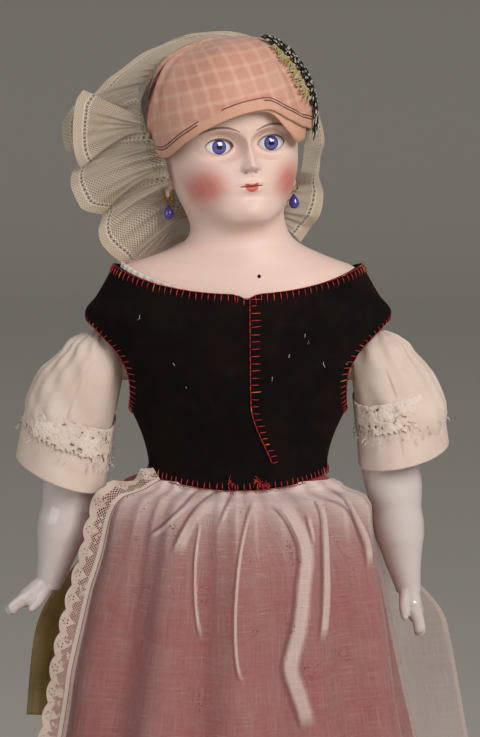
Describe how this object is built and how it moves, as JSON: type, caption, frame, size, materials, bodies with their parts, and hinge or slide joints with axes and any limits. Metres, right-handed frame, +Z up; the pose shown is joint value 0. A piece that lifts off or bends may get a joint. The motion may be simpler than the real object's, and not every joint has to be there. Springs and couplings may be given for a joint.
{
  "type": "bisque shoulder-head doll",
  "caption": "Standing cloth-bodied doll with a turned bisque shoulder head, china forearms, hinged limbs, kerchief and ruffled cap, velvet bodice, lace-edged apron over a full skirt.",
  "frame": {"origin": "on the floor between the boots, below the middle of the doll", "axes": "+Z up, the doll faces -Y, +X is the doll's own left"},
  "size_m": [0.246, 0.226, 0.5634],
  "materials": {
    "bisque": "unglazed, tinted, painted features",
    "china": "glossy clear glaze",
    "eye_glass": "blown glass, gloss",
    "plaster": "matte",
    "cork": "matte",
    "mohair": "combed mohair",
    "pink_silk": "woven plaid silk",
    "fringe_silk": "knotted silk",
    "ivory_net": "sheer net",
    "calico": "stuffed calico",
    "cream_cotton": "washed cotton",
    "black_velvet": "velvet pile",
    "red_wool": "plain weave wool",
    "white_cotton": "plain weave cotton",
    "sheer_muslin": "sheer slubbed muslin",
    "white_lace": "machine lace",
    "gold_silk": "silk ribbon",
    "black_leather": "soft leather",
    "sole_leather": "pressed leather",
    "brass_wire": "drawn wire",
    "blue_bead": "lampworked glass",
    "thread": "linen thread"
  },
  "bodies": {
    "torso": {"shoulder_head": "bisque", "eye_left": "eye_glass", "eye_right": "eye_glass", "eye_plaster": "plaster", "crown_pate": "cork", "wig": "mohair", "head_scarf": "pink_silk", "scarf_fringe": "fringe_silk", "net_cap": "ivory_net", "cap_ruffle": "ivory_net", "torso": "calico", "blouse_body": "cream_cotton", "bodice": "black_velvet", "skirt": "red_wool", "petticoat": "white_cotton", "apron": "sheer_muslin", "apron_lace": "white_lace", "apron_hem_lace": "white_lace", "apron_tie": "gold_silk", "bow_knot": "gold_silk", "bow_loop_left": "gold_silk", "bow_loop_right": "gold_silk", "tie_tail_left": "gold_silk", "tie_tail_right": "gold_silk"},
    "left_arm": {"upper_arm_left": "calico", "arm_binding_left": "thread", "lower_arm_left": "china", "sleeve_left": "cream_cotton", "cuff_left": "cream_cotton", "cuff_trim_left": "white_lace"},
    "left_thigh": {"thigh_left": "calico", "drawers_left": "white_cotton"},
    "left_shin": {"shin_left": "white_cotton", "boot_left": "black_leather", "boot_sole_left": "sole_leather"},
    "left_earring": {"earring_hook_left": "brass_wire", "earring_bead_left": "blue_bead"},
    "right_arm": {"upper_arm_right": "calico", "arm_binding_right": "thread", "lower_arm_right": "china", "sleeve_right": "cream_cotton", "cuff_right": "cream_cotton", "cuff_trim_right": "white_lace"},
    "right_thigh": {"thigh_right": "calico", "drawers_right": "white_cotton"},
    "right_shin": {"shin_right": "white_cotton", "boot_right": "black_leather", "boot_sole_right": "sole_leather"},
    "right_earring": {"earring_hook_right": "brass_wire", "earring_bead_right": "blue_bead"}
  },
  "joints": [
    {"name": "left_shoulder", "type": "hinge", "parent": "torso", "child": "left_arm", "pos_m": [0.0684, 0, 0.401], "axis": [-1, 0, 0], "range_deg": [-10, 72]},
    {"name": "left_hip", "type": "hinge", "parent": "torso", "child": "left_thigh", "pos_m": [0.023, 0, 0.258], "axis": [-1, 0, 0], "range_deg": [-8, 12]},
    {"name": "left_knee", "type": "hinge", "parent": "left_thigh", "child": "left_shin", "pos_m": [0.023, 0, 0.138], "axis": [1, 0, 0], "range_deg": [0, 14]},
    {"name": "left_earring_swing", "type": "hinge", "parent": "torso", "child": "left_earring", "pos_m": [0.0265, 0.01534, 0.48763], "axis": [-0.9636, -0.2582, -0.0698], "range_deg": [-25, 25]},
    {"name": "right_shoulder", "type": "hinge", "parent": "torso", "child": "right_arm", "pos_m": [-0.0684, 0, 0.401], "axis": [-1, 0, 0], "range_deg": [-10, 72]},
    {"name": "right_hip", "type": "hinge", "parent": "torso", "child": "right_thigh", "pos_m": [-0.023, 0, 0.258], "axis": [-1, 0, 0], "range_deg": [-8, 12]},
    {"name": "right_knee", "type": "hinge", "parent": "right_thigh", "child": "right_shin", "pos_m": [-0.023, 0, 0.138], "axis": [1, 0, 0], "range_deg": [0, 14]},
    {"name": "right_earring_swing", "type": "hinge", "parent": "torso", "child": "right_earring", "pos_m": [-0.03379, -0.00082, 0.48326], "axis": [-0.9636, -0.2582, -0.0698], "range_deg": [-25, 25]}
  ]
}
